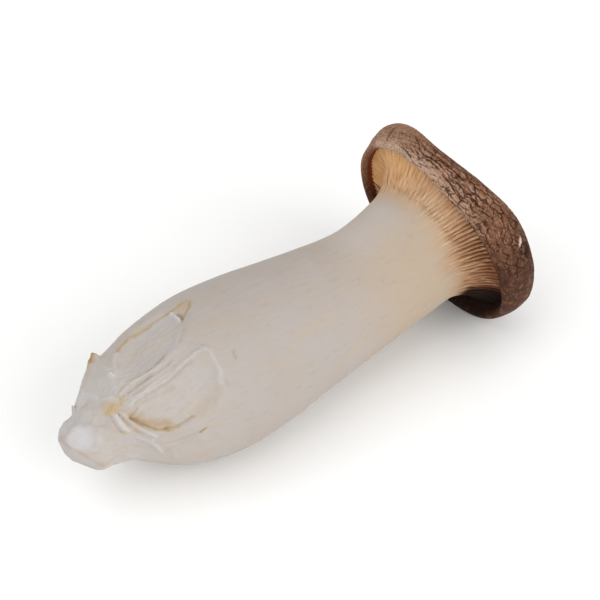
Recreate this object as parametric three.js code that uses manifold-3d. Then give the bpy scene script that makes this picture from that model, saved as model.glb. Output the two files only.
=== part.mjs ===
// A king oyster mushroom, picked and laid on its side. Millimetres, +Z up.
// It grew as one body, so it is one closed solid: a swollen stem whose base carries the hollow scars
// of its broken-off neighbours, a trumpet of decurrent gills, and a thick brown cap with a rolled-in rim.
// It rests on the belly of the stem and on the lowest edge of the cap.
// The surface is lofted in rings. A ring lies at a distance `along` the centre line from the base tip,
// and a point on it at an angle `turn` about that line: 0 is the -Y side, 90 the top, 180 the +Y side.

import * as THREE from "three";
import { mergeVertices } from "three/addons/utils/BufferGeometryUtils.js";
import Module from "manifold-3d";

// Driving dimensions
const bellyRadius = 23.8;
const neckRadius = 17.9;
const baseEnd = -2.6; // the tip of the torn base
const capAt = 126.4; // distance along the centre line to the plane of the cap's rim
const rimRadius = 28.5; // mean distance from the centre line to the rim, where skin meets gills
const shoulderHeight = 11.6; // mean height of the cap's shoulder above the plane of the rim
const crownHeight = 13.4;
const restDepth = 0.45; // how far the soft flesh has settled flat where it touches the table
const longGills = 52;
const gillCrest = 0.85; // thickness of a gill along its free edge

const radians = Math.PI / 180;

// A smooth curve through a few points, given as [distance, value] pairs.
function smoothThrough(points) {
  const slope = points.map((_, i) => {
    const before = points[Math.max(i - 1, 0)];
    const after = points[Math.min(i + 1, points.length - 1)];
    return (after[1] - before[1]) / (after[0] - before[0]);
  });
  return (at) => {
    let i = 0;
    while (i < points.length - 2 && at > points[i + 1][0]) i += 1;
    const [x0, y0] = points[i];
    const [x1, y1] = points[i + 1];
    const span = x1 - x0;
    const u = Math.min(Math.max((at - x0) / span, 0), 1);
    const keep = (1 + 2 * u) * (1 - u) * (1 - u);
    const lean = u * (1 - u) * (1 - u) * slope[i] - u * u * (1 - u) * slope[i + 1];
    return keep * y0 + (1 - keep) * y1 + span * lean;
  };
}

function smoothStep(from, to, at) {
  const u = Math.min(Math.max((at - from) / (to - from), 0), 1);
  return u * u * (3 - 2 * u);
}

// Random numbers from 0 to 1 with a fixed seed, so that each run draws the same mushroom.
function seededRandom(seed) {
  let state = seed;
  return () => {
    state = (state * 1664525 + 1013904223) % 4294967296;
    return state / 4294967296;
  };
}

// The same round a ring, from values given every 30 degrees of turn.
function smoothRound(values) {
  const wrapped = [-2, -1, ...values.keys(), 12, 13, 14].map((i) => [30 * i, values[(i + 12) % 12]]);
  const curve = smoothThrough(wrapped);
  return (turn) => curve((((turn / radians) % 360) + 360) % 360);
}

// Centre line: level along the table, then bent upwards into the cap
const centreHeight = smoothThrough([
  [baseEnd, 26.0],
  [6, 24.8],
  [17, 24.4],
  [28, 23.9],
  [60, bellyRadius - restDepth],
  [88, 23.2],
  [98, 23.8],
  [105, 25.0],
  [112, 26.8],
  [119, 29.0],
  [capAt, 30.8],
  [145, 34.8],
]);
const centreSide = smoothThrough([
  [baseEnd, 1.6],
  [6, 0],
  [105, 0],
  [119, 0.1],
  [capAt, 0.5],
  [145, 1.9],
]);

function centre(along) {
  return new THREE.Vector3(along, centreSide(along), centreHeight(along));
}

// The two directions across the stem at a distance along it: level towards -Y, and upwards.
function across(along) {
  const ahead = centre(along + 0.5).sub(centre(along - 0.5)).normalize();
  const level = new THREE.Vector3(0, 0, 1).cross(ahead).negate().normalize();
  return { level, upward: new THREE.Vector3().crossVectors(level, ahead) };
}

// Radius of the stem, from the torn base to where it meets the gills
const stemRadius = smoothThrough([
  [baseEnd, 2.5],
  [0, 5.4],
  [2.9, 7.2],
  [5.7, 9.6],
  [8.6, 10.9],
  [14.2, 14.1],
  [20, 16.8],
  [29, 20.9],
  [44, bellyRadius],
  [59, 23.3],
  [75, 21.2],
  [91, 19.1],
  [102, neckRadius],
  [108, 17.8],
  [116, 18.1],
]);

// The torn base is lopsided: mostly fuller on its upper far side, at this turn.
const leanTurn = 141;
const baseLean = smoothThrough([
  [baseEnd, 0],
  [5.7, -1.2],
  [8.6, 0],
  [14.2, 2.0],
  [20, 1.2],
  [29, 0.3],
  [40, 0],
]);

// The stem isn't quite round: low swellings run along it, turning slowly about it as they go.
const swellings = [
  { lobes: 2, rise: 0.3, phase: -0.4, drift: -0.02 },
  { lobes: 3, rise: 0.22, phase: 1.1, drift: 0.045 },
];
const swollen = { from: 8, full: 40, fading: 96, gone: 116 };

function swelling(along, turn) {
  const grown = smoothStep(swollen.from, swollen.full, along)
    * (1 - smoothStep(swollen.fading, swollen.gone, along));
  let rise = 0;
  for (const wave of swellings) {
    rise += wave.rise * Math.cos(wave.lobes * turn + wave.phase + along * wave.drift);
  }
  return grown * rise;
}

// Scars at the base, where neighbouring mushrooms broke off: oval hollows, each placed by its middle
// along the stem and about it, with its half sizes, its depth and how far its long side is twisted.
const scars = [
  { along: 28, turn: 99, halfLong: 14.5, halfWide: 7.9, depth: 2.3, twist: 14 },
  { along: 25.5, turn: 44, halfLong: 12.8, halfWide: 8, depth: 3.0, twist: 12 },
  { along: 11.5, turn: 106, halfLong: 7, halfWide: 6.5, depth: 1.6, twist: 0 },
  { along: 10.5, turn: 4, halfLong: 7.5, halfWide: 7, depth: 1.1, twist: -10 },
  { along: 24, turn: 196, halfLong: 15, halfWide: 10, depth: 3.6, twist: 8 },
  { along: 19, turn: 262, halfLong: 13, halfWide: 9, depth: 3.0, twist: -6 },
];
const scarShape = { rim: 1.15, floor: 0.05 }; // shares of its size where a hollow starts and is deepest

// A pointed shred of flesh left standing at the edge of the base.
const shred = { along: 16, turn: 137, halfLong: 2.4, halfWide: 3.4, height: 2.1 };

function shredHeight(along, turn) {
  const sideways = (turn - shred.turn * radians) * stemRadius(shred.along) / shred.halfWide;
  const endways = (along - shred.along) / shred.halfLong;
  return shred.height * Math.max(0, 1 - Math.hypot(sideways, endways));
}

function scarDepth(along, turn) {
  let deepest = 0;
  for (const scar of scars) {
    let away = turn - scar.turn * radians;
    away = Math.atan2(Math.sin(away), Math.cos(away)) * stemRadius(scar.along);
    const twist = scar.twist * radians;
    const endways = (along - scar.along) * Math.cos(twist) + away * Math.sin(twist);
    const sideways = away * Math.cos(twist) - (along - scar.along) * Math.sin(twist);
    const out = (endways / scar.halfLong) ** 2 + (sideways / scar.halfWide) ** 2;
    deepest = Math.max(deepest, scar.depth * smoothStep(scarShape.rim, scarShape.floor, out));
  }
  return deepest;
}

// The rim isn't a circle and the cap isn't even: both go by tables round the centre line.
const rimReach = smoothRound([28.3, 27.3, 26.2, 28.5, 30.9, 28.9, 27.8, 28.6, 29.2, 29.6, 30.4, 29.9]);
const capThickness = smoothRound([13.6, 13.4, 11.3, 8.9, 10.9, 11.6, 11.4, 11.4, 11.8, 12.2, 13, 13.6]);
const gillStart = smoothRound([-8, -6.5, -4.5, -3.3, -4, -5, -6, -6.5, -7, -7.5, -8, -8.5]);

// Outlines of the cap's section as [height above the rim plane, distance from the centre line].
// Gill floor: the flesh between the gills. Gill edge: their free edges, which run down the stem.
const gillFloor = [
  [-10.5, 18.1], [-7, 18.3], [-3.8, 18.9], [-0.6, 19.9], [2.2, 21.6], [4.2, 24.4], [3.9, 26.4],
];
const gillEdge = [
  [-10.5, 18.2], [-7, 18.9], [-4.2, 19.9], [-1.4, 21.6], [0.6, 23.5], [1.9, 25.4], [2.6, 26.8],
];
const gillFade = 2; // a gill rises out of the stem over twice this length

// The trumpet isn't even: at each turn it is pushed into the cap, or out of it, by these heights in the
// middle of its flare and at its outer end. Over it the gills run straight to the rim, and on the far
// side they lie nearly flat behind it.
const flareMiddle = smoothRound([-0.6, -1.2, -1.9, -2.3, -1.8, 1.6, 1.6, 0.4, 0, 0, 0, -0.3]);
const flareEnd = smoothRound([-1.0, -1.3, -1.5, -1.6, -1.2, -0.1, 0.1, 0, 0, 0.2, 0.6, 0.2]);
// Distances from the centre line where the flare starts, holds its middle height, and ends.
const flare = { start: 18.3, full: 21.5, leaving: 22.5, end: 27 };

function flareShift(radius, turn) {
  const middle = flareMiddle(turn);
  const outer = smoothStep(flare.leaving, flare.end, radius);
  return smoothStep(flare.start, flare.full, radius) * (middle + (flareEnd(turn) - middle) * outer);
}
// Brown skin: from the inner wall of the rolled-in rim, round the shoulder and over the crown.
const skin = [
  [2.3, 27.1], [0.8, 27.7], [0, rimRadius], [0.5, 30.2], [2.4, 31.9], [5.2, 32.6], [8, 32.1],
  [10.2, 30.2], [shoulderHeight, 27], [12.2, 22], [12.7, 16], [13.1, 10], [13.3, 5],
];

// A point of the surface, from its place along the centre line, its radius and its turn.
function onStem(along, radius, turn) {
  const { level, upward } = across(along);
  return centre(along)
    .addScaledVector(level, radius * Math.cos(turn))
    .addScaledVector(upward, radius * Math.sin(turn));
}

// On the cap the tables widen and thicken the section, less and less towards its middle.
const widens = { from: 3, full: 27 };
const thickens = { from: 4, full: 26 };

function onCap(height, radius, turn) {
  const middleRadius = gillFloor[0][1];
  const outward = radius > middleRadius && height < shoulderHeight;
  const share = outward
    ? (radius - middleRadius) / (rimRadius - middleRadius)
    : smoothStep(widens.from, widens.full, radius);
  const reach = radius + (rimReach(turn) - rimRadius) * Math.min(share, 1);
  const thickness = capThickness(turn) / shoulderHeight;
  const thicker = (thickness - 1) * smoothStep(thickens.from, thickens.full, radius);
  const lifted = height > 0 ? height * (1 + thicker) : height;
  return onStem(capAt + lifted, reach, turn);
}

// Rings of points, each a list of { turn, point } that goes once round.
function ring(turns, pointAt) {
  return turns.map((turn) => ({ turn, point: pointAt(turn) }));
}

function evenTurns(count) {
  return Array.from({ length: count }, (_, i) => (2 * Math.PI * i) / count);
}

const stemTurns = evenTurns(68);
const skinTurns = evenTurns(76);

// Rings lie close together on the torn base and further apart on the smooth stem.
function stemRings() {
  const rings = [];
  const firstStep = 0.6;
  const fineStep = 1.9;
  const fineEnd = 52;
  const coarseStep = 6;
  const lastRing = capAt - 13;
  const leastRadius = 1.2;
  let along = baseEnd + firstStep;
  while (along < lastRing) {
    const here = along;
    rings.push(ring(stemTurns, (turn) => {
      const lean = baseLean(here) * Math.cos(turn - leanTurn * radians);
      const radius = stemRadius(here) + lean + swelling(here, turn) + shredHeight(here, turn);
      return onStem(here, Math.max(radius - scarDepth(here, turn), leastRadius), turn);
    }));
    along += along < fineEnd ? fineStep : coarseStep;
  }
  return rings;
}

// Each gill takes three columns: the two sides of its flat crest, and the bottom of the groove beside it.
// A long gill runs down the stem, and a short one between two long ones starts later on the way out.
const unevenness = 0.25; // how far a gill may stray sideways, as a share of the pitch
const longLate = 1.6; // a long gill starts up to this far along the line of starts
const shortLate = { least: 3.5, more: 2.5 };

function gillColumns() {
  const random = seededRandom(7);
  const count = 2 * longGills;
  const pitch = (2 * Math.PI) / count;
  const columns = [];
  for (let i = 0; i < count; i += 1) {
    const middle = (i + unevenness * (random() - 0.5)) * pitch;
    const late = i % 2 ? shortLate.least + shortLate.more * random() : longLate * random();
    const start = gillStart(middle) + late;
    columns.push({ middle, side: -1, start }, { middle, side: 1, start });
    columns.push({ middle: (i + 0.5) * pitch, side: 0, start });
  }
  return columns;
}

function gillRings() {
  const columns = gillColumns();
  return gillFloor.map((floor, row) => {
    const edge = gillEdge[row];
    return columns.map(({ middle, side, start }) => {
      const turn = middle + (side * gillCrest) / 2 / edge[1];
      const raised = Math.abs(side) * smoothStep(start - gillFade, start + gillFade, floor[0]);
      const height = floor[0] + (edge[0] - floor[0]) * raised;
      const radius = floor[1] + (edge[1] - floor[1]) * raised;
      return { turn, point: onCap(height + flareShift(radius, turn), radius, turn) };
    });
  });
}

// The first ring of the skin is the foot of the rim's inner wall, which follows the ends of the gills.
const wallFollows = 0.5;

function skinRings() {
  return skin.map(([height, radius], row) => ring(skinTurns, (turn) => {
    const shift = row === 0 ? wallFollows * flareShift(radius, turn) : 0;
    return onCap(height + shift, radius, turn);
  }));
}

// One closed geometry from the rings. Neighbouring rings may hold different numbers of points:
// the strip between them steps round both in order of turn.
function closedLoft(rings, firstPole, lastPole) {
  const positions = [];
  const faces = [];
  const numbered = rings.map((points) => points.map(({ turn, point }) => {
    positions.push(point.x, point.y, point.z);
    return { turn, index: positions.length / 3 - 1 };
  }));
  for (let r = 0; r + 1 < numbered.length; r += 1) {
    const [low, high] = [numbered[r], numbered[r + 1]];
    const turnOf = (points, i) => points[i % points.length].turn
      + 2 * Math.PI * Math.floor(i / points.length);
    let i = 0;
    let j = 0;
    while (i < low.length || j < high.length) {
      const a = low[i % low.length].index;
      const b = high[j % high.length].index;
      const stepLow = j >= high.length
        || (i < low.length && turnOf(low, i + 1) <= turnOf(high, j + 1));
      if (stepLow) {
        i += 1;
        faces.push(a, b, low[i % low.length].index);
      } else {
        j += 1;
        faces.push(a, b, high[j % high.length].index);
      }
    }
  }
  const fan = (points, pole, outward) => {
    positions.push(pole.x, pole.y, pole.z);
    const tip = positions.length / 3 - 1;
    points.forEach(({ index }, i) => {
      const next = points[(i + 1) % points.length].index;
      if (outward) faces.push(index, tip, next);
      else faces.push(index, next, tip);
    });
  };
  fan(numbered[0], firstPole, false);
  fan(numbered[numbered.length - 1], lastPole, true);
  const geometry = new THREE.BufferGeometry();
  geometry.setAttribute("position", new THREE.Float32BufferAttribute(positions, 3));
  geometry.setIndex(faces);
  return geometry;
}

const wasm = await Module();
wasm.setup();

function solidFrom(geometry) {
  const merged = mergeVertices(geometry, 1e-4);
  return new wasm.Manifold(new wasm.Mesh({
    numProp: 3,
    vertProperties: merged.attributes.position.array,
    triVerts: new Uint32Array(merged.index.array),
  }));
}

// What lies below the table top is pressed flat there, at the belly and at the cap's lowest edge.
function settledOnTable(solid) {
  const roomSize = 400; // far more than the mushroom takes
  const room = new THREE.BoxGeometry(roomSize, roomSize, roomSize);
  room.deleteAttribute("normal");
  room.deleteAttribute("uv");
  room.translate(0, 0, roomSize / 2);
  return solid.intersect(solidFrom(room));
}

function geometryOf(solid) {
  const mesh = solid.getMesh();
  const geometry = new THREE.BufferGeometry();
  geometry.setAttribute("position", new THREE.BufferAttribute(mesh.vertProperties, 3));
  geometry.setIndex(new THREE.BufferAttribute(mesh.triVerts, 1));
  return geometry;
}

const rings = [...stemRings(), ...gillRings(), ...skinRings()];
const grown = closedLoft(rings, centre(baseEnd), centre(capAt + crownHeight));
const geometry = geometryOf(settledOnTable(solidFrom(grown)));
geometry.computeVertexNormals();

const mushroom = new THREE.Mesh(
  geometry,
  new THREE.MeshStandardMaterial({ color: "#d9cdbf", roughness: 0.62, metalness: 0 }),
);
mushroom.name = "mushroom";

// The origin is the middle of the underside of the box round the mushroom.
geometry.computeBoundingBox();
const middle = geometry.boundingBox.getCenter(new THREE.Vector3());
mushroom.position.set(-middle.x, -middle.y, 0);

const part = new THREE.Group();
part.add(mushroom);

export default part;
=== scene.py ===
import math

import bpy
import numpy as np
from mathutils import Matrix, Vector, noise


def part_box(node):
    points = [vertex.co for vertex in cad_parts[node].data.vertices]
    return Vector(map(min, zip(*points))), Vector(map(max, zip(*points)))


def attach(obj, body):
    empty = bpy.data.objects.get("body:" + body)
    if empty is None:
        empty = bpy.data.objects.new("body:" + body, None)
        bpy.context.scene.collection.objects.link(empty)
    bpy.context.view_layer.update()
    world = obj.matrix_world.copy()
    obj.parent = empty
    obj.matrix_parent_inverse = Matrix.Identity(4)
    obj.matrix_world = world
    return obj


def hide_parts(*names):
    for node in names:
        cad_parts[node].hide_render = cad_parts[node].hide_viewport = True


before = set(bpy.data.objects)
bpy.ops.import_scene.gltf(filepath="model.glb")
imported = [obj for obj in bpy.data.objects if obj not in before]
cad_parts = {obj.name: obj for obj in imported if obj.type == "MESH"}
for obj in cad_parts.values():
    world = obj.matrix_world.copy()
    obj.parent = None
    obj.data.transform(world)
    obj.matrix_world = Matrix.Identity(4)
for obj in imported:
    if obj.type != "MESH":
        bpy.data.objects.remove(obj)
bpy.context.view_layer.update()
millimetre = 0.001

# The grown form, in millimetres along a centre line that runs from the base tip into the cap.
# A point on it is given by its distance along, its distance from the line and its turn about it:
# 0 is the -Y side, 90 the top, 180 the +Y side.
body = {
    "baseEnd": -2.6,
    "capAt": 126.4,
    "height": [(-2.6, 26.0), (6, 24.8), (17, 24.4), (28, 23.9), (60, 23.35), (88, 23.2), (98, 23.8),
               (105, 25.0), (112, 26.8), (119, 29.0), (126.4, 30.8), (145, 34.8)],
    "side": [(-2.6, 1.6), (6, 0), (105, 0), (119, 0.1), (126.4, 0.5), (145, 1.9)],
    "radius": [(-2.6, 2.5), (0, 5.4), (2.9, 7.2), (5.7, 9.6), (8.6, 10.9), (14.2, 14.1), (20, 16.8),
               (29, 20.9), (44, 23.8), (59, 23.3), (75, 21.2), (91, 19.1), (102, 17.9), (108, 17.8),
               (116, 18.1)],
    "baseLean": [(-2.6, 0), (5.7, -1.2), (8.6, 0), (14.2, 2.0), (20, 1.2), (29, 0.3), (40, 0)],
    "leanTurn": 141,
}


# Shared sums

def smoothThrough(points):
    xs = np.array([p[0] for p in points], float)
    ys = np.array([p[1] for p in points], float)
    last = len(points) - 1
    before = np.maximum(np.arange(last + 1) - 1, 0)
    after = np.minimum(np.arange(last + 1) + 1, last)
    slope = (ys[after] - ys[before]) / (xs[after] - xs[before])

    def curve(at):
        i = np.clip(np.searchsorted(xs, at, side="right") - 1, 0, last - 1)
        span = xs[i + 1] - xs[i]
        u = np.clip((at - xs[i]) / span, 0, 1)
        keep = (1 + 2 * u) * (1 - u) ** 2
        lean = u * (1 - u) ** 2 * slope[i] - u * u * (1 - u) * slope[i + 1]
        return keep * ys[i] + (1 - keep) * ys[i + 1] + span * lean

    return curve


def smoothRound(values):  # values every 30 degrees of turn
    wrapped = [(30 * i, values[i % 12]) for i in range(-2, 15)]
    curve = smoothThrough(wrapped)
    return lambda turn: curve(np.degrees(turn) % 360)


def smoothStep(low, high, value):
    u = np.clip((value - low) / (high - low), 0, 1)
    return u * u * (3 - 2 * u)


def window(value, start, full, fading, gone):  # 0 outside, 1 in the middle
    return smoothStep(start, full, value) * smoothStep(gone, fading, value)


def bump(value, middle, width):
    return np.exp(-((value - middle) / width) ** 2)


def turnGap(turn, degrees):  # signed angle from a turn given in degrees, in radians
    gap = turn - math.radians(degrees)
    return np.arctan2(np.sin(gap), np.cos(gap))


def draw(x, y, seed):
    value = np.sin(x * 127.1 + y * 311.7 + seed * 74.7) * 43758.5453
    return value - np.floor(value)


def grain(points, size, seed, octaves=3):
    shift = Vector((seed * 7.3, seed * 3.1, seed * 5.7))
    sizes = np.broadcast_to(size, (3,))
    scaled = (points / sizes).tolist()
    return np.array([noise.fractal(Vector(p) + shift, 1.0, 2.0, octaves) for p in scaled])


centreHeight = smoothThrough(body["height"])
centreSide = smoothThrough(body["side"])
stemRadius = smoothThrough(body["radius"])
baseLean = smoothThrough(body["baseLean"])


def centre(along):
    return np.stack([along, centreSide(along), centreHeight(along)], axis=-1)


def onBody(along, radius, turn):
    ahead = centre(along + 0.5) - centre(along - 0.5)
    ahead /= np.linalg.norm(ahead, axis=-1, keepdims=True)
    level = np.cross(ahead, (0.0, 0.0, 1.0))
    level /= np.linalg.norm(level, axis=-1, keepdims=True)
    upward = np.cross(level, ahead)
    out = level * (radius * np.cos(turn))[:, None] + upward * (radius * np.sin(turn))[:, None]
    return centre(along) + out


# Making a closed shell: a flat grid is rolled up round the centre line and its seam welded.

def rolledGrid(name, columns, rows):
    bpy.ops.object.select_all(action="DESELECT")
    bpy.ops.mesh.primitive_grid_add(x_subdivisions=columns, y_subdivisions=rows, size=1)
    piece = bpy.context.object
    piece.name = piece.data.name = name
    flat = np.zeros(len(piece.data.vertices) * 3)
    piece.data.vertices.foreach_get("co", flat)
    flat = flat.reshape(-1, 3)
    return piece, (flat[:, 0] + 0.5), (flat[:, 1] + 0.5)


def weld(piece, points, marks):  # the marks are attributes that the materials read
    piece.data.vertices.foreach_set("co", (points * millimetre).ravel())
    for name, values in marks.items():
        kind, field = ("FLOAT", "value") if values.ndim == 1 else ("FLOAT_VECTOR", "vector")
        mark = piece.data.attributes.new(name, kind, "POINT")
        mark.data.foreach_set(field, values.ravel())
    bpy.ops.object.mode_set(mode="EDIT")
    bpy.ops.mesh.select_all(action="SELECT")
    bpy.ops.mesh.remove_doubles(threshold=1e-7)
    bpy.ops.mesh.dissolve_degenerate(threshold=1e-7)
    bpy.ops.mesh.normals_make_consistent(inside=False)
    bpy.ops.object.mode_set(mode="OBJECT")
    bpy.ops.object.shade_smooth_by_angle(angle=math.radians(70))


# Stem and torn base

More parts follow.
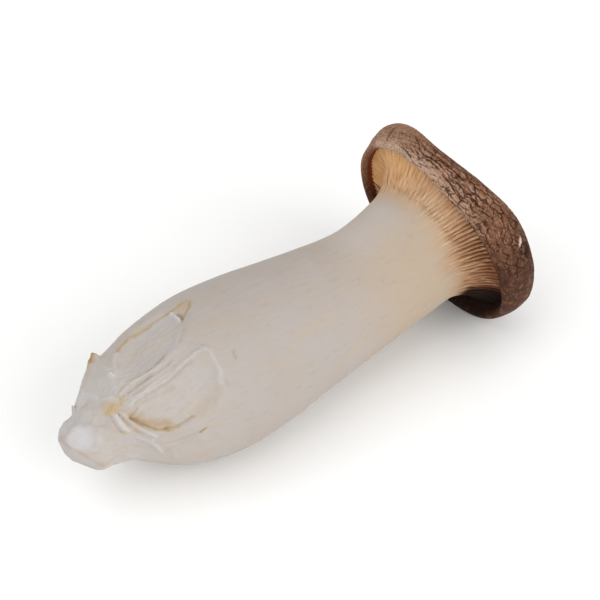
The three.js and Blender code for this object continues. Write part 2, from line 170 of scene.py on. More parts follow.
stem = {
    "columns": 420,
    "rows": 224,
    "end": 118,
    "tuck": {"from": 111.9, "to": 117, "by": 0.9},  # its end slips in under the gills
    "fineTo": 50,  # most rows lie on the torn base
    "fineShare": 0.66,
    "tipRound": 1.4,
    # Slow unevenness of the smooth flesh: its height, how many fit round, where it starts, how it winds
    "swells": [
        {"high": 0.3, "round": 2, "turn": -0.4, "winding": -0.02},
        {"high": 0.22, "round": 3, "turn": 1.1, "winding": 0.045},
    ],
    "swollen": (8, 40, 90, 108),
    "fibres": {"size": (9, 1.1, 1.1), "depth": 0.06, "fade": (109, 103)},
    "torn": {"size": (2.6, 1.0, 1.0), "depth": 0.10, "inScars": 0.12, "fade": (50, 30)},
    "paleTop": {"turn": 108, "wide": 0.55, "amount": 0.48, "span": (86, 104, 115, 124)},
    "freshInScars": 0.2,
    "scars": [
        {"along": 28, "turn": 99, "halfLong": 14.5, "halfWide": 7.9, "depth": 2.2, "twist": 14, "lip": 0.12},
        {"along": 25.5, "turn": 44, "halfLong": 12.8, "halfWide": 8, "depth": 2.8, "twist": 12, "lip": 0.18},
        {"along": 11.5, "turn": 106, "halfLong": 7, "halfWide": 6.5, "depth": 1.6, "twist": 0, "lip": 0.1},
        {"along": 10.5, "turn": 4, "halfLong": 7.5, "halfWide": 7, "depth": 1.1, "twist": -10, "lip": 0.1},
        {"along": 24, "turn": 196, "halfLong": 15, "halfWide": 10, "depth": 3.6, "twist": 8, "lip": 0.3},
        {"along": 19, "turn": 262, "halfLong": 13, "halfWide": 9, "depth": 3.0, "twist": -6, "lip": 0.3},
    ],
    "facets": [
        {"along": 3.2, "turn": 88, "size": 3.6, "depth": 0.5, "fresh": 0.4},
        {"along": 1.6, "turn": 38, "size": 3.4, "depth": 0.55, "fresh": 0.8},
        {"along": 7.4, "turn": 60, "size": 2.4, "depth": 0.5, "fresh": 0.15},
        {"along": 6.6, "turn": 130, "size": 3.0, "depth": 0.4, "fresh": 0.6},
        {"along": 8.5, "turn": -30, "size": 4.0, "depth": 0.4, "fresh": 0.2},
        {"along": 6.0, "turn": 14, "size": 3.0, "depth": 0.35, "fresh": 0.25},
        {"along": 0.4, "turn": 122, "size": 4.6, "depth": 1.3, "fresh": 0.5},
        {"along": 0.6, "turn": -8, "size": 4.4, "depth": 0.6, "fresh": 0.3},
    ],
    "shreds": [
        {"along": 15.3, "turn": 137, "halfLong": 2.4, "halfWide": 3.4, "height": 2.1, "blunt": 0.68},
        {"along": 3.6, "turn": 146, "halfLong": 1.1, "halfWide": 1.7, "height": 2.2, "blunt": 0.85},
    ],
    # Ridges and creases of the torn base, each a line of (along, turn) with its width and its rise,
    # and how much it is bruised brown, yellowed or left fresh and pale. Some dark lines are painted
    # shadow beside a curl, a tongue and a fold and in the fan's valleys, laid on as bruise and yellow.
    "strokes": [
        # Upper scar: the yellowed edge, the notch at its end with a white curl, and its left edge
        {"line": [(20.3, 116), (21.8, 119), (25.5, 120), (28.7, 118), (33.6, 117.5), (38.6, 114)],
         "width": 0.42, "rise": -0.35, "yellowAndShade": 0.6, "bruiseAndShade": 0.4},
        {"line": [(38.6, 113.5), (41.1, 112.5), (44, 112)],
         "width": 0.45, "rise": -0.3, "yellowAndShade": 0.6, "bruiseAndShade": 0.5},
        {"line": [(44.4, 109), (42.6, 103), (39.8, 100), (38.6, 97)],
         "width": 0.4, "rise": -0.35, "bruiseAndShade": 0.6},
        {"line": [(40.5, 110), (43, 109.5), (42, 106)],
         "width": 1.3, "rise": 0.0, "yellowAndShade": 0.45, "bruiseAndShade": 0.25},
        {"line": [(38.4, 110), (38.5, 105), (38.3, 99)], "width": 0.5, "rise": 1.0, "fresh": 1.0},
        # painted shadow beside the white curl
        {"line": [(39.4, 107), (39.7, 102), (39.3, 99)], "width": 0.42, "rise": -0.6, "bruiseAndShade": 0.8},
        {"line": [(20.3, 116), (17.8, 109), (15.8, 100), (14.3, 91), (13.3, 77)],
         "width": 0.4, "rise": 0.35, "fresh": 0.3},
        {"line": [(15.1, 99), (15.4, 96)], "width": 0.6, "rise": 0.7, "fresh": 0.8},
        # Below the spike
        {"line": [(16.6, 143), (15.6, 120), (15.6, 106), (15.3, 99)],
         "width": 0.5, "rise": 0.5, "fresh": 0.2},
        {"line": [(16.4, 143), (15.0, 105), (13.6, 90), (11.6, 80)],
         "width": 0.5, "rise": 0.4, "bruiseAndShade": 0.1},
        {"line": [(9.1, 122), (9.6, 91), (11.4, 80)], "width": 0.6, "rise": 0.4, "fresh": 0.5},
        {"line": [(16.3, 142), (15.3, 137), (14.5, 134)],
         "width": 0.62, "rise": 0.0, "bruiseAndShade": 1.2, "yellowAndShade": 0.8},
        # The yellow knot, its white tongue and the fold that runs from it
        {"line": [(9.1, 64), (10.6, 66), (12.1, 66)],
         "width": 0.45, "rise": 0.4, "yellowAndShade": 1.0, "bruiseAndShade": 0.2},
        {"line": [(11.1, 70), (10.9, 64), (10.6, 58)], "width": 0.4, "rise": 0.35, "yellowAndShade": 0.9},
        {"line": [(13.3, 73), (13.6, 68), (12.9, 64)],
         "width": 0.4, "rise": -0.2, "yellowAndShade": 0.6, "bruiseAndShade": 0.3},
        {"line": [(10.4, 68), (11.2, 62)], "width": 1.3, "rise": 0.0, "yellowAndShade": 0.4},
        {"line": [(10.5, 57), (10.7, 48), (11.1, 38), (11.4, 33)],
         "width": 0.7, "rise": 0.95, "fresh": 1.0},
        # painted shadow along the tongue's edge
        {"line": [(9.7, 60), (9.6, 50), (9.9, 41), (10.4, 33)],
         "width": 0.3, "rise": -0.4, "bruiseAndShade": 0.5},
        {"line": [(10.7, 34), (11.4, 30)], "width": 0.4, "rise": 0.2, "yellowAndShade": 0.6, "bruiseAndShade": 0.3},
        {"line": [(11.9, 56), (12.9, 47), (13.6, 41), (15.6, 27), (17.8, 16)],
         "width": 0.42, "rise": 0.95, "fresh": 0.85},
        # painted shadow below the fold, laid on as yellow and bruise
        {"line": [(11.4, 56), (12.0, 45), (13.2, 34), (15.0, 22)],
         "width": 0.28, "rise": -0.35, "yellowAndShade": 0.5, "bruiseAndShade": 0.45},
        # Lower scar: the brown crease along its lower edge, and its pale lip
        {"line": [(13.3, 45), (14.8, 48), (16.3, 52)], "width": 0.28, "rise": -0.4, "bruiseAndShade": 0.6},
        {"line": [(13.8, 45), (15.1, 39), (16.3, 32), (17.8, 25.5), (19, 22), (21, 21)],
         "width": 0.45, "rise": -0.55, "bruiseAndShade": 0.9},
        {"line": [(21, 21), (23, 21), (25.7, 23), (28, 26)], "width": 0.34, "rise": -0.4, "bruiseAndShade": 0.6},
        {"line": [(14.8, 43), (16.3, 36), (18.1, 29.5), (19.8, 26), (21.5, 25)],
         "width": 1.6, "rise": 0.0, "bruiseAndShade": 0.5, "yellowAndShade": 0.35},
        {"line": [(37.1, 69), (38.8, 64), (38.2, 56), (38.4, 50), (36.9, 42)],
         "width": 0.5, "rise": 0.4, "fresh": 0.3},
        {"line": [(35.6, 39), (32.4, 32), (29.4, 26.5)],
         "width": 1.2, "rise": 0.0, "bruiseAndShade": 0.22, "yellowAndShade": 0.15},
        # The fan of ridges between the two scars, with painted shadow in the valleys between them
        {"line": [(13.3, 73), (17.6, 76), (23, 74.5), (26.5, 76)],
         "width": 0.38, "rise": 0.6, "fresh": 0.15},
        {"line": [(17.6, 78.5), (23, 77), (26.5, 78.5)], "width": 0.26, "rise": -0.4, "bruiseAndShade": 0.35},
        {"line": [(25.6, 77), (28.4, 79.5)], "width": 0.4, "rise": -0.3, "bruiseAndShade": 0.5},
        {"line": [(26.5, 76), (30.9, 79), (33.4, 84), (35.4, 89)],
         "width": 0.5, "rise": 0.3, "fresh": 0.3},
        {"line": [(13.1, 67), (18, 68), (26, 69), (28.7, 70)],
         "width": 0.36, "rise": 0.5, "bruiseAndShade": 0.2},
        {"line": [(14.3, 69), (18.5, 71), (22.3, 71)], "width": 0.28, "rise": -0.35, "bruiseAndShade": 0.32},
        {"line": [(14.3, 59), (20.8, 61), (28.7, 64), (32.2, 66), (35.1, 68), (38.1, 67)],
         "width": 0.42, "rise": 0.65, "fresh": 0.35},
        # painted shadow just inside the lower scar
        {"line": [(16, 57.5), (20.8, 59), (28.7, 62), (33, 64.5)],
         "width": 0.32, "rise": -0.4, "bruiseAndShade": 0.35},
        {"line": [(12.9, 75), (17, 80.5), (21, 81.5)], "width": 0.26, "rise": -0.3, "bruiseAndShade": 0.25},
        {"line": [(14, 65), (19, 66), (25, 66.5), (31, 69)], "width": 0.26, "rise": -0.3, "bruiseAndShade": 0.22},
        {"line": [(14.2, 62.5), (20, 64), (27, 66.5)], "width": 0.34, "rise": 0.35, "fresh": 0.15},
        {"line": [(24, 73), (28, 74), (31, 77)], "width": 0.36, "rise": 0.3, "fresh": 0.2},
        {"line": [(16.8, 56), (22.8, 54), (26.5, 55)], "width": 0.5, "rise": -0.15, "bruiseAndShade": 0.3},
        # Ragged folds below the lower scar
        {"line": [(13.8, 18), (16.1, 10), (17.6, 1), (19.3, -9)],
         "width": 0.4, "rise": 0.5, "fresh": 0.5},
        {"line": [(17.1, 14), (17.3, 5), (18.8, -5)], "width": 0.45, "rise": 0.5, "fresh": 0.5},
        {"line": [(19.3, -9), (21.8, -1), (25, 6), (28.7, 12)],
         "width": 0.45, "rise": 0.4, "bruiseAndShade": 0.25},
        {"line": [(19, 3), (22, 6), (25.5, 10), (28, 13)], "width": 0.4, "rise": -0.25, "bruiseAndShade": 0.3},
        {"line": [(28.4, 12), (30.2, 14)], "width": 0.35, "rise": -0.4, "bruiseAndShade": 1.1},
        {"line": [(21.5, -6), (22.8, -22)], "width": 0.5, "rise": 0.3, "bruiseAndShade": 0.15},
        # The torn end
        {"line": [(0.5, 86), (2.9, 76), (5.7, 53), (9.6, 36)],
         "width": 0.4, "rise": 0.25, "bruiseAndShade": 0.2},
        {"line": [(5.2, 52), (4.2, 34), (3.7, 16), (3.7, -6)],
         "width": 0.4, "rise": 0.15, "bruiseAndShade": 0.25},
        {"line": [(2.2, 62), (2.8, 44), (2.0, 28)], "width": 1.9, "rise": 0.0, "fresh": 0.9},
        {"line": [(-1.8, 112), (-2.3, 91), (-2.5, 64), (-1.5, 17),
                  (0.7, 10), (3.9, -10), (5.2, -17), (6.4, -14)],
         "width": 0.6, "rise": 0.2, "bruiseAndShade": 0.4},
        # Two slanting bruises beyond the lower scar
        {"line": [(44.4, 56.5), (44.0, 54), (43.9, 51.5)], "width": 0.46, "rise": -0.1, "bruiseAndShade": 0.45},
        {"line": [(38.7, 41.5), (38.8, 39), (38.9, 37)], "width": 0.4, "rise": -0.1, "bruiseAndShade": 0.3},
        # Faint tan patches on the smooth flesh beyond the upper scar
        {"line": [(37, 83), (41, 84)], "width": 1.4, "rise": 0.0, "bruiseAndShade": 0.14, "yellowAndShade": 0.15},
        {"line": [(38, 78), (43, 83), (44.8, 80)],
         "width": 1.3, "rise": 0.0, "bruiseAndShade": 0.12, "yellowAndShade": 0.15},
    ],
    # Small brown bruises on the smooth stem: (along, turn, size)
    "specks": [(91.8, 94, 0.35), (93.1, 22, 0.4), (82.4, -4, 0.4),
               (77.5, 20, 0.3), (56.9, 61, 0.35), (114.5, -4, 0.6), (63, 5, 0.3), (71, 80, 0.25),
               (99, 48, 0.3), (52, 150, 0.7), (70, 190, 0.5), (88, 230, 0.6), (60, 300, 0.4)],
}


def unrolled(along, turn):
    return np.stack([along, turn * stemRadius(along)], axis=-1)


def gapToLine(along, turn, line):
    here = unrolled(along, turn)
    nearest = np.full(len(along), 1e9)
    corners = [unrolled(np.array(float(a)), np.array(math.radians(t))) for a, t in line]
    for start, end in zip(corners, corners[1:]):
        step = end - start
        u = np.clip(((here - start) @ step) / (step @ step), 0, 1)
        nearest = np.minimum(nearest, np.linalg.norm(here - start - u[:, None] * step, axis=1))
    return nearest


# The neck stays pale on top, on the stem and where the gills begin.
def paleNeck(along, turn):
    pale = stem["paleTop"]
    onTop = bump(turnGap(turn, pale["turn"]), 0, pale["wide"])
    return pale["amount"] * onTop * window(along, *pale["span"])


def scarRelief(along, turn, wobble):
    sunk = np.zeros(len(along))
    lip = np.zeros(len(along))
    inside = np.zeros(len(along))
    for scar in stem["scars"]:
        away = turnGap(turn, scar["turn"]) * stemRadius(np.array(float(scar["along"])))
        twist = math.radians(scar["twist"])
        endways = (along - scar["along"]) * math.cos(twist) + away * math.sin(twist)
        sideways = away * math.cos(twist) - (along - scar["along"]) * math.sin(twist)
        out = (endways / scar["halfLong"]) ** 2 + (sideways / scar["halfWide"]) ** 2
        out = out * (1 + 0.16 * wobble)
        sunk = np.maximum(sunk, scar["depth"] * smoothStep(1.15, 0.08, out))
        lip = np.maximum(lip, scar["lip"] * bump(np.sqrt(out), 1.08, 0.12))
        inside = np.maximum(inside, smoothStep(1.1, 0.55, out))
    return sunk, lip, inside


def makeStem():
    piece, u, v = rolledGrid("stem", stem["columns"], stem["rows"])
    turn = -math.pi / 2 + 2 * math.pi * (u % 1.0)
    lastRow = stem["rows"]
    row = np.round(v * lastRow)
    share = np.clip((row - 1) / (lastRow - 2), 0, 1)
    ends = [body["baseEnd"] + 0.02, stem["fineTo"], stem["end"]]
    along = np.interp(share, [0, stem["fineShare"], 1], ends)
    closing = (row > 0.5) & (row < lastRow - 0.5)
    smooth = onBody(along, stemRadius(along), turn)

    wobble = grain(smooth, 6, 1, 2)
    sunk, lip, inside = scarRelief(along, turn, wobble)
    swelling = np.zeros(len(along))
    for swell in stem["swells"]:
        swelling += swell["high"] * np.cos(swell["round"] * turn + swell["turn"] + swell["winding"] * along)
    swelling *= window(along, *stem["swollen"])
    spike = np.zeros(len(along))
    for shred in stem["shreds"]:
        sideways = turnGap(turn, shred["turn"]) * stemRadius(np.array(shred["along"])) / shred["halfWide"]
        endways = (along - shred["along"]) / shred["halfLong"]
        spike += shred["height"] * np.clip(1 - np.hypot(sideways, endways), 0, shred["blunt"])
    tip = np.sqrt(np.clip((along - body["baseEnd"]) / stem["tipRound"], 0, 1))

    marks = {"bruiseAndShade": np.zeros(len(along)), "yellowAndShade": np.zeros(len(along))}
    marks["fresh"] = stem["freshInScars"] * inside
    rise = np.zeros(len(along))
    ragged = grain(smooth, 2.2, 2, 2)
    for stroke in stem["strokes"]:
        gap = gapToLine(along, turn, stroke["line"]) * (1 + 0.35 * ragged) + 0.25 * ragged
        ridge = np.exp(-(np.abs(gap) / stroke["width"]) ** 1.7)
        rise += stroke["rise"] * ridge
        spread = np.exp(-(np.abs(gap) / (stroke["width"] * 1.3)) ** 2)
        for name in marks:
            marks[name] = np.maximum(marks[name], stroke.get(name, 0) * spread)
    for where, at, size in stem["specks"]:
        gap = np.hypot(along - where, turnGap(turn, at) * stemRadius(along) * 1.7)
        marks["bruiseAndShade"] = np.maximum(marks["bruiseAndShade"], 0.8 * np.exp(-(gap / size) ** 2))

    for facet in stem["facets"]:
        sideways = turnGap(turn, facet["turn"]) * np.maximum(stemRadius(along), 4)
        gap = np.hypot(along - facet["along"], sideways) / facet["size"]
        rise -= facet["depth"] * smoothStep(1.1, 0.5, gap)
        marks["fresh"] = np.maximum(marks["fresh"], facet["fresh"] * smoothStep(1.1, 0.7, gap))
    marks["fresh"] = np.maximum(marks["fresh"], paleNeck(along, turn))
    tuck = stem["tuck"]
    rise -= tuck["by"] * smoothStep(tuck["from"], tuck["to"], along)
    fibres, torn = stem["fibres"], stem["torn"]
    rise += fibres["depth"] * smoothStep(*fibres["fade"], along) * grain(smooth, fibres["size"], 3, 3)
    tornDepth = (torn["depth"] + torn["inScars"] * inside) * smoothStep(*torn["fade"], along)
    rise += tornDepth * grain(smooth, torn["size"], 4, 3)
    lean = baseLean(along) * np.cos(turn - math.radians(body["leanTurn"]))
    radius = stemRadius(along) + lean + swelling + spike - sunk + lip + rise
    radius = np.maximum(radius * tip, 0.4) * closing
    weld(piece, onBody(along, radius, turn), marks)
    return piece


# Gills: blades that stand on the flaring flesh under the cap and run down the neck

gills = {
    "long": 52,  # long blades, with a short one between each two
    "rows": 76,
    "seed": 7,
    "scatter": 0.25,  # share of the pitch
    "late": [(0, 1.6), (3.5, 2.5)],  # how much later a long and a short blade start: at least, and more
    "together": 0.8,  # how far filled grooves bring the starts together
    "bends": 0.06,
    "uneven": 0.12,
    "floor": [(-18, 17.3), (-15.6, 17.8), (-14.2, 17.95), (-12, 18.05), (-10.5, 18.15), (-7, 18.5),
              (-4, 19.15), (-1.1, 20.4), (1.4, 22.3), (3.4, 24.8), (4, 26.6), (4.2, 27.6)],
    "edge": [(-18, 17.35), (-15.6, 17.82), (-14.2, 17.97), (-12, 18.1), (-10.5, 18.25), (-7, 18.95),
             (-4.2, 19.9), (-1.4, 21.6), (0.6, 23.5), (1.9, 25.4), (2.6, 26.8), (3.0, 28.2)],
    "start": [-8, -6.5, -4.5, -3.3, -4, -5, -6, -6.5, -7, -7.5, -8, -8.5],
    "neck": 18.1,
    # How far the trumpet is pushed into the cap, or out of it, in the middle of its flare and at its end
    "flareMiddle": [-0.6, -1.2, -1.9, -2.3, -1.8, 1.6, 1.6, 0.4, 0, 0, 0, -0.3],
    "flareEnd": [-1.0, -1.3, -1.5, -1.6, -1.2, -0.1, 0.1, 0, 0, 0.2, 0.6, 0.2],
    "flare": {"start": 18.3, "full": 21.5, "leaving": 22.5, "end": 27},
    "filled": [0.1, 0.35, 0.76, 0.93, 0.95, 0.8, 0.4, 0.2, 0, 0, 0, 0],  # share of a groove's depth
    "lean": [0, 0, -3, -8, -8, -2, 0, 0, 0, 0, 0, 0],  # degrees that a blade drifts round towards the rim
    # Half a blade's section: share of its half width, and how high it stands there
    "section": [(0, 1), (0.45, 0.97), (0.78, 0.8), (1.0, 0.4), (1.14, 0.06)],
    "width": (0.84, 0.7),  # in shares of the room between its grooves, where it starts and at the rim
    "innerRing": (5.6, 26.6),
}

cap = {
    "columns": 680,
    "rows": 140,
    "rim": 28.5,
    "shoulder": 11.6,
    "reach": [28.3, 27.3, 26.2, 28.5, 30.7, 28.4, 27.8, 28.6, 29.2, 29.6, 30.4, 29.9],
    "thickness": [13.6, 13.4, 11.3, 8.9, 10.9, 11.6, 11.4, 11.4, 11.8, 12.2, 13, 13.6],
    "opening": [0, 0, 0, 0, 0.6, 2.3, 2.2, 1.6, 1.3, 1.3, 1.7, 1.0],  # where the rolled rim is thinner
    "outline": [(6, 25), (4.4, 26.2), (2.3, 27.1), (0.8, 27.7), (0, 28.5), (0.5, 30.2), (2.4, 31.9),
                (5.2, 32.6), (8, 32.1), (10.2, 30.2), (11.6, 27), (12.2, 22), (12.7, 16), (13.1, 10),
                (13.3, 5), (13.4, 0)],
    "insideRows": 0.06,  # share of the rows inside the rim
    "fineFrom": 2.0,  # arc lengths between which the rows lie close
    "fineTo": 19.0,
    "fineRows": 0.66,
    "fineTurns": (-60, 152),  # turns between which the columns lie close
    "fineColumns": 0.74,
    "rimArc": 5.25,  # arc length of the outline's edge, where the wall meets the skin
}
rimReach = smoothRound(cap["reach"])
capThickness = smoothRound(cap["thickness"])
rimOpening = smoothRound(cap["opening"])
gillStart = smoothRound(gills["start"])
flareMiddle = smoothRound(gills["flareMiddle"])
flareEnd = smoothRound(gills["flareEnd"])
grooveFilled = smoothRound(gills["filled"])
gillLean = smoothRound(gills["lean"])


def flareShift(radius, turn):
    flare = gills["flare"]
    middle = flareMiddle(turn)
    outer = smoothStep(flare["leaving"], flare["end"], radius)
    return smoothStep(flare["start"], flare["full"], radius) * (middle + (flareEnd(turn) - middle) * outer)


def onCap(height, radius, turn):
    neck = gills["neck"]
    below = (radius - neck) / (cap["rim"] - neck)
    share = np.clip(np.where(height < cap["shoulder"], below, smoothStep(3, 27, radius)), 0, 1)
    opened = rimOpening(turn) * smoothStep(23.5, 27.5, radius) * smoothStep(32.2, 28.3, radius)
    reach = radius + (rimReach(turn) - cap["rim"]) * share + opened * (height < 6)
    thicker = capThickness(turn) / cap["shoulder"] - 1
    lifted = np.where(height > 0, height * (1 + thicker * smoothStep(4, 26, radius)), height)
    return onBody(body["capAt"] + lifted, reach, turn)


def alongCurve(points, count):
    spots = np.array(points, float)
    steps = np.concatenate([[0], np.cumsum(np.linalg.norm(np.diff(spots, axis=0), axis=1))])
    at = np.linspace(0, steps[-1], count)
    heights = smoothThrough(list(zip(steps, spots[:, 0])))(at)
    radii = smoothThrough(list(zip(steps, spots[:, 1])))(at)
    return heights, radii


def steadyRandom(seed):  # the same draws as in the solid, so that blade follows blade
    state = seed
    while True:
        state = (state * 1664525 + 1013904223) % 4294967296
        yield state / 4294967296


def makeGills():
    count = 2 * gills["long"]
    section = gills["section"]
    half = [(-share, rise) for share, rise in reversed(section[1:])] + section
    perBlade = len(half) + 1  # and one at the bottom of the groove
    columns = count * perBlade
    piece, u, v = rolledGrid("gills", columns, gills["rows"])
    column = np.round(u * columns).astype(int) % columns
    row = np.round(v * gills["rows"]).astype(int)
    draws = steadyRandom(gills["seed"])
    pitch = 2 * math.pi / count
    middles = []
    starts = []
    for i in range(count):
        middle = (i + gills["scatter"] * (next(draws) - 0.5)) * pitch
        least, more = gills["late"][i % 2]
        late = least + more * next(draws)
        apart = 1 - gills["together"] * float(grooveFilled(np.array(middle)))
        middles.append(middle)
        starts.append(float(gillStart(np.array(middle))) + late * apart)
    index = column // perBlade
    within = column % perBlade
    share = np.array([h[0] for h in half] + [0.0])[within]
    crest = np.array([h[1] for h in half] + [0.0])[within]
    middles = np.array(middles)
    start = np.array(starts)[index]
    groove = (middles + np.append(middles[1:], middles[0] + 2 * math.pi)) / 2
    before = middles - np.append(groove[-1] - 2 * math.pi, groove[:-1])
    room = np.where(share < 0, before[index], (groove - middles)[index])

    last = gills["rows"]
    floorHeight, floorRadius = alongCurve(gills["floor"], last - 2)
    edgeHeight, edgeRadius = alongCurve(gills["edge"], last - 2)
    inner = np.clip(row - 1, 0, last - 3)
    rise = inner / (last - 3)
    wide, narrow = gills["width"]
    halfWidth = (wide + (narrow - wide) * smoothStep(0.3, 0.9, rise)) * room
    turn = np.where(within == perBlade - 1, groove[index], middles[index] + share * halfWidth)
    places = np.stack([index * 1.7, inner * 0.06, 0 * inner], axis=-1)
    turn = turn + gills["bends"] * pitch * grain(places, 1.0, 9, 2) * crest
    turn = turn + np.radians(gillLean(turn)) * smoothStep(0.35, 1, rise)
    uneven = 1 + gills["uneven"] * grain(places, 1.0, 19, 2)
    filled = grooveFilled(turn)
    standing = crest + (1 - crest) * filled
    slower = 2.2 * filled
    raised = standing * smoothStep(start - 2 - slower, start + 3.4 + slower, floorHeight[inner]) * uneven
    height = floorHeight[inner] + (edgeHeight[inner] - floorHeight[inner]) * raised
    radius = floorRadius[inner] + (edgeRadius[inner] - floorRadius[inner]) * raised
    height = height + flareShift(radius, turn)
    closed = (row == last - 1) | (row == last)
    height = np.where(closed, gills["innerRing"][0], height)
    radius = np.where(closed, gills["innerRing"][1], radius)
    height = np.where(row == 0, gills["floor"][0][0], height)
    radius = np.where((row == 0) | (row == last), 0.0, radius)
    atFloor = floorHeight[inner]
    # Painted shade under the cap: past this edge the gills turn dusky, then near black
    edgeOfLight = -15 - 3.8 * np.clip((0.62 - rise) / 0.08, 0, 4)
    degrees = np.degrees(turnGap(turn, 0))
    lowest = smoothStep(edgeOfLight + 8, edgeOfLight - 14, degrees)
    marks = {
        # painted light on the upper gills and painted shade on the lower ones
        "upper": window(degrees, 75, 118, 200, 240),
        "shadedLower": smoothStep(66, 14, degrees) + smoothStep(200, 240, degrees),
        "blade": draw(index, 0 * index, 5),
        "fresh": paleNeck(body["capAt"] + height, turn),
        "groove": (1 - crest) * (1 - 0.6 * filled) * smoothStep(start - 1, start + 3, atFloor),
        "rise": rise,
        "gillwise": np.column_stack([22 * np.cos(turn), 22 * np.sin(turn), 3 * rise]) * millimetre,
        "underside": lowest * smoothStep(-150, -125, degrees),
    }
    weld(piece, onCap(height, radius, turn), marks)
    return piece


# Cap: thick brown skin that cracks as the cap dries, rolled in at the rim

skin = {
    "around": 60,  # cells round the rim
    "long": 3.3,  # millimetres of a cell along the rim
    "deep": 1.9,  # millimetres of it across the rim
    # How deep each pattern sinks the skin, in millimetres, and how dark it is
    "sunk": {"crack": 0.3, "faint": 0.14, "valley": 0.32, "fineValley": 0.16, "net": 0.12, "ridge": -0.1},
    "dark": {"crack": 1.25, "faint": 0.6, "valley": 0.9, "fineValley": 0.5, "net": 0.42},
    "sunkAllOver": 0.18,
    "lumps": 0.25,
    "felt": 0.05,
}
# Spots on the cap, by height and turn: a nick with a white flake, and the groove where the rim folds
capSpots = {
    "nick": {"height": 8.4, "turn": 14, "long": 1.4, "wide": 2.6, "slant": 0.3, "depth": 0.6},
    "flake": {"height": 7.1, "turn": 22, "long": 0.6, "wide": 1.5, "slant": 0.5, "depth": -0.3},
    "fold": {"height": 3.6, "turn": 117.5, "long": 3.2, "wide": 0.5, "slant": 0, "depth": 0.3},
}


def cellBorders(x, y, across, around, seed):
    stepX, stepY = across

    def site(cellX, cellY):
        home = cellX % around
        return cellX + 0.1 + 0.8 * draw(home, cellY, seed), cellY + 0.1 + 0.8 * draw(home, cellY, seed + 1)

    nearest = np.full(x.shape, 1e9)
    ownX, ownY, cellX, cellY = (np.zeros(x.shape) for _ in range(4))
    for dx in (-1, 0, 1):
        for dy in (-1, 0, 1):
            placeX, placeY = site(np.floor(x) + dx, np.floor(y) + dy)
            gap = (placeX - x) ** 2 + (placeY - y) ** 2
            closer = gap < nearest
            nearest = np.where(closer, gap, nearest)
            ownX = np.where(closer, placeX, ownX)
            ownY = np.where(closer, placeY, ownY)
            cellX = np.where(closer, np.floor(x) + dx, cellX)
            cellY = np.where(closer, np.floor(y) + dy, cellY)
    border = np.full(x.shape, 1e9)
    for dx in range(-2, 3):
        for dy in range(-2, 3):
            if dx == 0 and dy == 0:
                continue
            placeX, placeY = site(cellX + dx, cellY + dy)
            wayX, wayY = placeX - ownX, placeY - ownY
            length = np.hypot(wayX, wayY)
            gap = (((placeX + ownX) / 2 - x) * wayX + ((placeY + ownY) / 2 - y) * wayY) / length
            border = np.minimum(border, gap / np.hypot(wayX / length / stepX, wayY / length / stepY))
    return border, draw(cellX % around, cellY, seed + 2)


